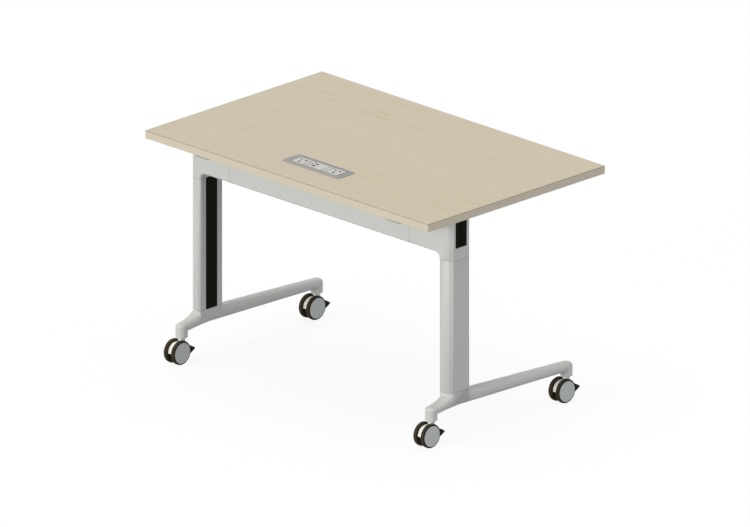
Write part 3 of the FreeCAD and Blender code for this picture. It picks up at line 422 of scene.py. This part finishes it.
def leaning_root(finish):
    """The surface's direction, turned down on the outer side of a foot under its column."""
    low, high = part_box("right_column")
    height, along = finish.axis("Z") - low.z, finish.axis("Y")
    near_limit = along - ROOT_SLANT * height
    root = finish.spread(near_limit, low.y + ROOT_START, low.y + ROOT_START + ROOT_BLEND)
    outside = abs(finish.axis("X")) > (low.x + high.x) / 2
    root = root * finish.spread(high.y - along, ROOT_END, ROOT_END + ROOT_FADE)
    down = finish.node("ShaderNodeCombineXYZ", sockets={"Z": root * outside * (height < 0.0) * -ROOT_LEAN})
    return finish.vector("NORMALIZE", finish.vector("ADD", finish.normal(), down))


def silver_powder():
    finish = Finish("silver_powder_coat")
    peel = finish.noise((900.0, 900.0, 900.0), detail=2.0)
    cloud = finish.noise((6.0, 6.0, 6.0), detail=2.0)
    base = finish.tint(cloud, (0.562, 0.561, 0.543, 1), (0.582, 0.581, 0.561, 1))
    worn = finish.tint(finish.edges(0.0015) * 0.4, base, (0.63, 0.64, 0.61, 1))
    lined = finish.tint(nose_lines(finish) * LINE_STRENGTH, worn, SEAM_GREY)
    colour = finish.tint(seams(finish) * SEAM_STRENGTH, lined, SEAM_GREY)
    skin = finish.bump(peel, 0.00005, leaning_root(finish))
    return finish.wear(colour, 0.44 + 0.10 * peel, normal=skin)


paint(["crossbeam"] + named("corner_casting", "foot"), silver_powder())

# %% [markdown]
# ## Columns
#
# The columns are aluminium extrusions in the same silver. The die leaves faint straight lines along
# the length, so the noise is stretched along Z.

# %% Columns
def silver_extrusion():
    finish = Finish("silver_extrusion")
    lines = finish.noise((500.0, 500.0, 2.0), detail=2.0)
    base = finish.tint(lines, (0.526, 0.527, 0.511, 1), (0.550, 0.551, 0.533, 1))
    lined = finish.tint(nose_lines(finish) * LINE_STRENGTH, base, SEAM_GREY)
    colour = finish.tint(seams(finish) * SEAM_STRENGTH, lined, SEAM_GREY)
    return finish.wear(colour, 0.40 + 0.10 * lines, normal=finish.bump(lines, 0.00002))


paint(named("_column"), silver_extrusion())

# %% [markdown]
# ## Black plastic
#
# Cable covers, window covers, brake pedals, the module's housing and the latch handle are moulded in black
# plastic with a spark-eroded skin: a fine even grain that keeps the shine down.

# %% Black mouldings
def black_moulding(name, colour, grain, sheen):
    """A black with so many grains a metre and a strength of reflection, paler along its edges."""
    finish = Finish(name)
    skin = finish.noise((grain, grain, grain), detail=2.0)
    tone = finish.tint(finish.edges(0.001) * 0.5, (*colour, 1), tuple(3 * part for part in colour) + (1,))
    return finish.wear(tone, 0.50 + 0.16 * skin, normal=finish.bump(skin, 0.00006), Specular_IOR_Level=sheen)


paint(named("cable_cover", "head_covers"),
      black_moulding("cover_black", (0.0052, 0.0042, 0.0016), 1500.0, 0.04))
paint(named("latch_handle", "module_housing", "power_inlet"),
      black_moulding("grip_black", (0.014, 0.013, 0.011), 1200.0, 0.25))
paint(named("caster_pedal"), black_moulding("pedal_black", (0.016, 0.013, 0.008), 1200.0, 0.06))

# %% [markdown]
# ## Module
#
# The bezel is satin aluminium, brushed along its length. Its rims slope so gently that flat light hardly
# tells them apart, so a bump makes them catch the light as steeper ones would, and a dark band along its
# sharp edges is painted shade. Sockets, strips and the data unit are white plastic with a smooth skin;
# the slots, the ports, the seams between them and the walls below the faces are painted dark as shade.

# %% Power module
bezel_low, bezel_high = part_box("module_bezel")
END_SLOPE, SIDE_SLOPE = 0.0232, 0.0132  # how far a sloping rim reaches in from the bezel's edge
RIM_RISE, BRUSH_SHARE = 0.0046, 0.0045


def brushed_bezel():
    finish = Finish("brushed_bezel")
    brush = finish.noise((20.0, 2500.0, 2500.0), detail=2.0)
    middle, half = (bezel_low + bezel_high) / 2, (bezel_high - bezel_low) / 2
    end = (half.x - abs(finish.axis("X") - middle.x)) * (1 / END_SLOPE)
    side = (half.y - abs(finish.axis("Y") - middle.y)) * (1 / SIDE_SLOPE)
    rim = finish.node("ShaderNodeMath", {"operation": "MINIMUM"}, {0: end, 1: side})
    satin = finish.tint(brush, (0.318, 0.309, 0.301, 1), (0.356, 0.347, 0.339, 1))
    # The dark band along the bezel's sharp edges is painted shade, a shadow line round its raised rim.
    colour = finish.tint(finish.edges(0.0020) * 0.6, satin, (0.07, 0.07, 0.075, 1))
    return finish.wear(colour, 0.40 + 0.12 * brush, normal=finish.bump(rim + BRUSH_SHARE * brush, RIM_RISE),
                       Specular_IOR_Level=0.01)


panel_low, panel_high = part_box("socket_plates")
PANEL_Y = (panel_low.y + panel_high.y) / 2
SEAM_PLACES = (0.046, 0.029, panel_high.x)
PANEL_HALF_DEPTH = (panel_high.y - panel_low.y) / 2
# Painted shade: each seam is painted dark PANEL_SEAM wide, wider than its real gap, each slot and port gets
# a dark rim MOUTH_RIM wide, and all below PANEL_LIP under the top face is near black.
PANEL_SEAM, PANEL_LIP, MOUTH_RIM = 0.0030, 0.0004, 0.0014
SOCKET_X, PORT_X, PORT_SPACING = 0.072, -0.014, 0.008
SLOTS = ((-0.0095, 0.010, 0.0070, 0.0045), (0.0095, 0.010, 0.0070, 0.0045), (0.0, -0.010, 0.0044, 0.0086))
PORT_SIZE = (0.0126, 0.0050)


def panel_white():
    """White on the faces of the panel; painted shade in its slots, its ports, the seams between its plates
    and below its faces.
    """
    finish = Finish("panel_white")
    skin = finish.noise((700.0, 700.0, 700.0), detail=2.0)
    across, along = finish.axis("X"), finish.axis("Y")
    # Painted shade along the seams: the real gaps are narrower than these dark lines.
    dark = sum(finish.line(abs(across), place, PANEL_SEAM) for place in SEAM_PLACES)
    dark = dark + finish.line(abs(along - PANEL_Y), PANEL_HALF_DEPTH, PANEL_SEAM)
    mouths = [(abs(across) - SOCKET_X, *slot) for slot in SLOTS]
    mouths += [(across, PORT_X, half * PORT_SPACING, *PORT_SIZE) for half in (-1, 1)]
    # Painted shade in the slots and the ports and on a rim round each mouth.
    for value, x, y, length, breadth in mouths:
        inside = finish.line(value, x, length + 2 * MOUTH_RIM)
        dark = dark + inside * finish.line(along, PANEL_Y + y, breadth + 2 * MOUTH_RIM)
    # Painted shade: the walls of gaps and holes below the top face are near black.
    below = (panel_high.z - PANEL_LIP - finish.axis("Z")) > 0.0
    white = finish.tint(skin * 0.4, (0.527, 0.513, 0.479, 1), (0.489, 0.474, 0.446, 1))
    white_and_painted_shade = finish.tint(dark * 0.95, white, (0.08, 0.08, 0.07, 1))
    colour = finish.tint(below * 0.97, white_and_painted_shade, (0.012, 0.011, 0.008, 1))
    return finish.wear(colour, 0.34 + 0.08 * skin, normal=finish.bump(skin, 0.00002),
                       Specular_IOR_Level=0.3)


paint(["module_bezel"], brushed_bezel())
paint(["socket_plates", "filler_strips", "data_unit"], panel_white())

# %% [markdown]
# ## Steel
#
# Pins, screws, stems, axles and the latch are zinc-plated steel; the arms under the top are sheet steel
# with a grey coat; the rest pads are rubber.

# %% Steel and rubber
def zinc_steel():
    finish = Finish("zinc_plated_steel")
    fine = finish.noise((400.0, 400.0, 400.0), detail=3.0)
    colour = finish.tint(fine, (0.50, 0.51, 0.53, 1), (0.62, 0.62, 0.62, 1))
    return finish.wear(colour, 0.24 + 0.16 * fine, metallic=1.0, normal=finish.bump(fine, 0.00002))


def grey_coat():
    finish = Finish("grey_coated_steel")
    peel = finish.noise((800.0, 800.0, 800.0), detail=2.0)
    colour = finish.tint(peel, (0.24, 0.26, 0.27, 1), (0.28, 0.30, 0.31, 1))
    return finish.wear(colour, 0.42 + 0.12 * peel, normal=finish.bump(peel, 0.00005))


def rest_rubber():
    finish = Finish("rest_rubber")
    skin = finish.noise((600.0, 600.0, 600.0), detail=3.0)
    colour = finish.tint(skin, (0.010, 0.010, 0.010, 1), (0.022, 0.022, 0.021, 1))
    return finish.wear(colour, 0.70 + 0.15 * skin, normal=finish.bump(skin, 0.0001))


paint(named("pins", "screws", "caster_stem", "caster_axle", "latch_shaft", "latch_hooks"), zinc_steel())
paint(named("top_arm"), grey_coat())
paint(["rest_pads"], rest_rubber())

# %% [markdown]
# ## Casters
#
# Each caster has a white hood between two wheels. The wheels have dark polyurethane treads, which scuff
# to a lighter brown where they roll, and flat grey caps.

# %% Casters
stem_low, stem_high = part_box("near_right_caster_stem")
CASTER_X = (stem_low.x + stem_high.x) / 2
CAP_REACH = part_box("near_right_caster_right_hub")[1].x - CASTER_X
CAP_FACE, TYRE_WALL = 0.0004, 0.0010  # how far in from the cap's face the grey and the side wall's black go


def hood_white():
    finish = Finish("hood_white")
    skin = finish.noise((700.0, 700.0, 700.0), detail=2.0)
    cloud = finish.noise((30.0, 30.0, 30.0), detail=2.0)
    tone = finish.tint(cloud * 0.4, (0.82, 0.82, 0.78, 1), (0.7708, 0.7708, 0.7332, 1))
    return finish.wear(tone, 0.34 + 0.08 * skin, normal=finish.bump(skin, 0.00002))


def dark_tread():
    """Scuffed brown where a wheel rolls, black on its side walls."""
    finish = Finish("dark_tread")
    scuff = finish.noise((250.0, 250.0, 250.0), detail=4.0)
    rolled = finish.tint(scuff, (0.028, 0.021, 0.010, 1), (0.056, 0.042, 0.021, 1))
    outside = abs(abs(finish.axis("X")) - CASTER_X) > CAP_REACH - TYRE_WALL
    colour = finish.tint(outside * 0.9, rolled, (0.007, 0.006, 0.004, 1))
    return finish.wear(colour, 0.55 + 0.2 * scuff, normal=finish.bump(scuff, 0.0001),
                       Specular_IOR_Level=0.08)


def cap_grey():
    """Grey on the flat outer cap of a wheel, black on the hub behind it."""
    finish = Finish("cap_grey")
    skin = finish.noise((500.0, 500.0, 500.0), detail=2.0)
    cloud = finish.noise((40.0, 40.0, 40.0), detail=2.0)
    grey = finish.tint(cloud, (0.540, 0.560, 0.548, 1), (0.565, 0.586, 0.574, 1))
    outside = abs(abs(finish.axis("X")) - CASTER_X) > CAP_REACH - CAP_FACE
    colour = finish.tint(outside, (0.010, 0.009, 0.006, 1), grey)
    return finish.wear(colour, 0.45 + 0.1 * skin, normal=finish.bump(skin, 0.00003), Specular_IOR_Level=0.3)


paint(named("caster_hood"), hood_white())
paint(named("tyre"), dark_tread())
paint(named("hub"), cap_grey())

# %% [markdown]
# ## Making small pieces
#
# Screws, contacts and ribs are too small for the CAD model, but they are what makes a close view
# believable. Each is a mesh of rings: a ring is a closed row of points, and neighbouring rings are joined
# by faces, like the hoops of a barrel. A piece rides on a body, so that it moves with it.

# %% Rings and pieces
ROUND = 24
CORNER_STEPS = 4


def join_rings(form, rings, hollow=False):
    """Skin over a row of rings with equal numbers of points: a flat face at each end, or a hollow frame."""
    loops = [[form.verts.new(point) for point in ring] for ring in rings]
    for first, second in zip(loops, loops[1:] + loops[:1] if hollow else loops[1:]):
        for index in range(len(first)):
            after = (index + 1) % len(first)
            form.faces.new((first[index], first[after], second[after], second[index]))
    if not hollow:
        form.faces.new(loops[0])
        form.faces.new(reversed(loops[-1]))


def rounded_ring(centre, half_length, half_breadth, corner, height):
    """A rectangle with rounded corners, level with the floor."""
    ring = []
    for quarter, (side_x, side_y) in enumerate(((1, 1), (-1, 1), (-1, -1), (1, -1))):
        for step in range(CORNER_STEPS + 1):
            angle = math.pi / 2 * (quarter + step / CORNER_STEPS)
            x = centre.x + side_x * (half_length - corner) + corner * math.cos(angle)
            y = centre.y + side_y * (half_breadth - corner) + corner * math.sin(angle)
            ring.append(Vector((x, y, height)))
    return ring


def turned_ridge(form, centre, axis, profile):
    """A ridge turned round an axis from (distance along it, radius) pairs."""
    spin = Vector(axis).to_track_quat("Z", "Y")
    rings = []
    for along, radius in profile:
        angles = [2 * math.pi * index / ROUND for index in range(ROUND)]
        points = [Vector((radius * math.cos(a), radius * math.sin(a), along)) for a in angles]
        rings.append([centre + spin @ point for point in points])
    join_rings(form, rings)


def piece(name, form, finish, body):
    """Turn a finished form into an object that rides on a body."""
    bmesh.ops.recalc_face_normals(form, faces=form.faces)
    mesh = bpy.data.meshes.new(name)
    form.to_mesh(mesh)
    form.free()
    mesh.materials.append(finish)
    made = bpy.data.objects.new(name, mesh)
    bpy.context.scene.collection.objects.link(made)
    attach(made, body)
    print(f"{name}: {len(mesh.polygons)} faces on {body}")
    return made


def surface(node, start, direction):
    """The first point of a CAD node that a ray meets, and the surface's direction there."""
    hit, point, normal, _ = nodes[node].ray_cast(Vector(start), Vector(direction))
    if not hit:
        raise ValueError(f"the ray from {start} misses {node}")
    return point, normal


print(f"round pieces have {ROUND} points to a ring")

# %% [markdown]
# ## Screw heads
#
# Every screw head is a low dome with a recess for the driver. The recess is a ring whose radius swings in
# and out as it goes round: four lobes make a cross, six make a star. The same function makes them all.

# %% Screw heads
DOME = ((1.0, 0.0), (1.0, 0.3), (0.93, 0.66), (0.78, 0.91), (0.60, 1.0))  # (radius, height) as shares
RECESS, RECESS_SWING = ((0.50, 1.0), (0.40, 0.3)), 0.3


def screw_head(form, place, direction, radius, height, lobes):
    """A domed head that stands on a surface and points out of it."""
    turned = Matrix.Translation(place) @ Vector(direction).to_track_quat("Z", "Y").to_matrix().to_4x4()
    rings = []
    for share, rise, swing in [(*step, 0.0) for step in DOME] + [(*step, RECESS_SWING) for step in RECESS]:
        ring = []
        for index in range(ROUND):
            angle = 2 * math.pi * index / ROUND
            reach = radius * share * (1 - swing + swing * math.cos(lobes * angle))
            point = Vector((reach * math.cos(angle), reach * math.sin(angle), height * rise))
            ring.append(turned @ point)
        rings.append(ring)
    join_rings(form, rings)


BEAM_HEAD, FOOT_HEAD, HOUSING_HEAD = (0.0050, 0.0028, 6), (0.0055, 0.0030, 6), (0.0030, 0.0018, 4)

zinc = nodes["hinge_pins"].data.materials[0]
beam_low, beam_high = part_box("crossbeam")
BEAM_SCREW_INSET, BEAM_SCREW_SPACING = 0.020, 0.030
beam_middle = (beam_low.z + beam_high.z) / 2
form = bmesh.new()
for side in (-1, 1):
    for half in (-0.5, 0.5):
        place = Vector((side * (beam_high.x - BEAM_SCREW_INSET), beam_high.y,
                        beam_middle + half * BEAM_SCREW_SPACING))
        screw_head(form, place, (0, 1, 0), *BEAM_HEAD)
piece("beam_screws", form, zinc, "frame")

# %% Screws of the feet and the module
column_low, column_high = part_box("right_column")
column_middle = (column_low + column_high) / 2
FOOT_SCREW_OFFSET, RAY_START = 0.032, 0.01
form = bmesh.new()
for foot, side in (("right_foot", 1), ("left_foot", -1)):
    for half in (-1, 1):
        below = (side * column_middle.x, column_middle.y + half * FOOT_SCREW_OFFSET, RAY_START)
        place, normal = surface(foot, below, (0, 0, 1))
        screw_head(form, place, normal, *FOOT_HEAD)
piece("foot_screws", form, zinc, "frame")

housing_low, housing_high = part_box("module_housing")
HOUSING_SCREW_INSET = 0.0055
form = bmesh.new()
for x in (housing_low.x + HOUSING_SCREW_INSET, housing_high.x - HOUSING_SCREW_INSET):
    for y in (housing_low.y + HOUSING_SCREW_INSET, housing_high.y - HOUSING_SCREW_INSET):
        screw_head(form, Vector((x, y, housing_low.z)), (0, 0, -1), *HOUSING_HEAD)
piece("housing_screws", form, zinc, "top")

# %% [markdown]
# ## Arm screws
#
# Pan-head screws hold the arms to the board. The CAD model has plain round heads there; these stand for
# them, with a washer face, a dome and a cross recess.

# %% Arm screws
screw_low, screw_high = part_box("arm_screws")
ARM_SCREW_HEAD, ARM_SCREW_HEIGHT, ARM_SCREW_PITCH, ARM_SCREW_SPACING = 0.0050, 0.0030, 0.120, 0.027
form = bmesh.new()
rows = round((screw_high.y - screw_low.y) / ARM_SCREW_PITCH) + 1
for side in (-1, 1):
    for offset in (0, ARM_SCREW_SPACING):
        for row in range(rows):
            x = side * (screw_high.x - ARM_SCREW_HEAD - offset)
            y = screw_low.y + ARM_SCREW_HEAD + row * ARM_SCREW_PITCH
            base = Vector((x, y, screw_low.z + ARM_SCREW_HEIGHT))
            screw_head(form, base, (0, 0, -1), ARM_SCREW_HEAD, ARM_SCREW_HEIGHT, 4)
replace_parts(piece("pan_head_screws", form, zinc, "top"), "arm_screws")

# %% [markdown]
# ## Inside the power module
#
# Behind each slot is a pair of brass leaves that grip a plug's pin, held by the socket's dark body. Each
# data port is a folded steel shell round a tongue with four gilt contacts. They are seen only from close by
# and from above, but without them the holes look like painted rectangles.

# %% Socket bodies and leaves
SOCKET_HALF = Vector((0.022, 0.020))
BODY_ROUND, BODY_STEPS = 0.003, ((0.001, 0.0002), (0.0, 0.0012), (0.0, 0.016))  # (inset, drop)
LEAF, LEAF_SHARE, LEAF_ROUND = 0.0004, 0.35, 0.00004
LEAF_STEPS = ((-0.0010, 0.0), (0.0, 0.0008), (0.0014, 0.00016))  # (rise, bow towards the pin)

black = nodes["module_housing"].data.materials[0]
bodies, leaves = bmesh.new(), bmesh.new()
for side in (-1, 1):
    socket = Vector((side * SOCKET_X, PANEL_Y, panel_low.z))
    join_rings(bodies, [rounded_ring(socket, SOCKET_HALF.x - inset, SOCKET_HALF.y - inset, BODY_ROUND,
                                     socket.z - drop)
                        for inset, drop in BODY_STEPS])
    for x, y, length, breadth in SLOTS:
        for half in (-1, 1):
            rings = []
            for rise, bow in LEAF_STEPS:
                reach = half * (min(length, breadth) / 2 - LEAF - bow)
                offset = Vector((0.0, reach)) if length > breadth else Vector((reach, 0.0))
                middle = Vector((socket.x + x + offset.x, socket.y + y + offset.y, 0.0))
                wide = LEAF_SHARE * max(length, breadth)
                halves = (wide, LEAF / 2) if length > breadth else (LEAF / 2, wide)
                rings.append(rounded_ring(middle, *halves, LEAF_ROUND, socket.z + rise))
            join_rings(leaves, rings)


def brass():
    finish = Finish("leaf_brass")
    fine = finish.noise((900.0, 900.0, 900.0), detail=2.0)
    colour = finish.tint(fine, (0.55, 0.38, 0.14, 1), (0.66, 0.48, 0.20, 1))
    return finish.wear(colour, 0.28 + 0.15 * fine, metallic=1.0, normal=finish.bump(fine, 0.00001))


gilt = brass()
piece("socket_bodies", bodies, black, "top")
piece("socket_leaves", leaves, gilt, "top")

# %% Data ports
SHELL, SHELL_HALF, SHELL_ROUND = 0.0003, Vector((0.0061, 0.0024)), 0.0006
MOUTH_DEPTH, BACK_GAP = 0.0003, 0.0002
TONGUE_TOP, TONGUE_HALF = 0.7407, 0.0009
CONTACT_PITCH, CONTACT_HALF, CONTACT_ROUND = 0.0024, 0.0005, 0.0002
CONTACT_STEPS = ((0.0001, -0.0010), (0.0001, 0.0), (-0.0002, 0.0002))  # (growth, rise)

shells, contacts = bmesh.new(), bmesh.new()
for half in (-1, 1):
    port = Vector((PORT_X, PANEL_Y + half * PORT_SPACING, 0.0))
    mouth, back = panel_high.z - MOUTH_DEPTH, panel_low.z + BACK_GAP
    steps = ((0.0, back), (0.0, mouth - SHELL), (0.5 * SHELL, mouth), (SHELL, mouth), (SHELL, back))
    join_rings(shells, [rounded_ring(port, SHELL_HALF.x - inset, SHELL_HALF.y - inset, SHELL_ROUND, height)
                        for inset, height in steps], hollow=True)
    for place in (-1.5, -0.5, 0.5, 1.5):
        middle = port + Vector((place * CONTACT_PITCH, 0.0, 0.0))
        join_rings(contacts, [rounded_ring(middle, CONTACT_HALF, TONGUE_HALF + grow, CONTACT_ROUND,
                                           TONGUE_TOP + rise)
                              for grow, rise in CONTACT_STEPS])
piece("port_shells", shells, zinc, "top")
piece("port_contacts", contacts, gilt, "top")

# %% [markdown]
# ## Ribs where hands and feet press
#
# A brake pedal has low ribs across its tip, so that a shoe does not slip off, and the latch's grip has
# ridges turned round it for the fingers. A ray cast down on each pedal finds the slope that a rib lies on.

# %% Pedal ribs
RIBS, RIB_RADIUS, RIB_HALF_LENGTH = 4, 0.0011, 0.0115
PEDAL_START, PEDAL_STEP, RAY_HEIGHT = 0.0050, 0.0042, 0.02
RIB_PROFILE = [(-1.0, 0.35), (-0.96, 0.8), (-0.9, 1.0), (0.9, 1.0), (0.96, 0.8), (1.0, 0.35)]

pedal_finish = nodes["near_right_caster_pedal"].data.materials[0]
for corner in ("near_left", "near_right", "far_left", "far_right"):
    pedal = f"{corner}_caster_pedal"
    low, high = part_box(pedal)
    form = bmesh.new()
    for rib in range(RIBS):
        above = ((low.x + high.x) / 2, high.y - PEDAL_START - rib * PEDAL_STEP, high.z + RAY_HEIGHT)
        place, _ = surface(pedal, above, (0, 0, -1))
        turned_ridge(form, place, (1, 0, 0), [(RIB_HALF_LENGTH * along, RIB_RADIUS * share)
                                              for along, share in RIB_PROFILE])
    piece(f"{corner}_pedal_ribs", form, pedal_finish, f"{corner}_pedal")

# %% Grip ridges
grip_low, grip_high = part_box("latch_handle")
GRIP_RADIUS, RIDGE_PITCH, RIDGE_INSET = 0.0050, 0.0060, 0.007
RIDGE = ((-0.0014, 0.0), (-0.0008, 0.0004), (0.0, 0.0006), (0.0008, 0.0004), (0.0014, 0.0))
grip = Vector((0.0, grip_high.y - GRIP_RADIUS, grip_high.z - GRIP_RADIUS))
ridges = int((grip_high.x - grip_low.x - 2 * RIDGE_INSET) / RIDGE_PITCH) + 1
form = bmesh.new()
for index in range(ridges):
    centre = grip + Vector(((index - (ridges - 1) / 2) * RIDGE_PITCH, 0.0, 0.0))
    turned_ridge(form, centre, (1, 0, 0), [(along, GRIP_RADIUS + rise) for along, rise in RIDGE])
piece("grip_ridges", form, black, "latch")
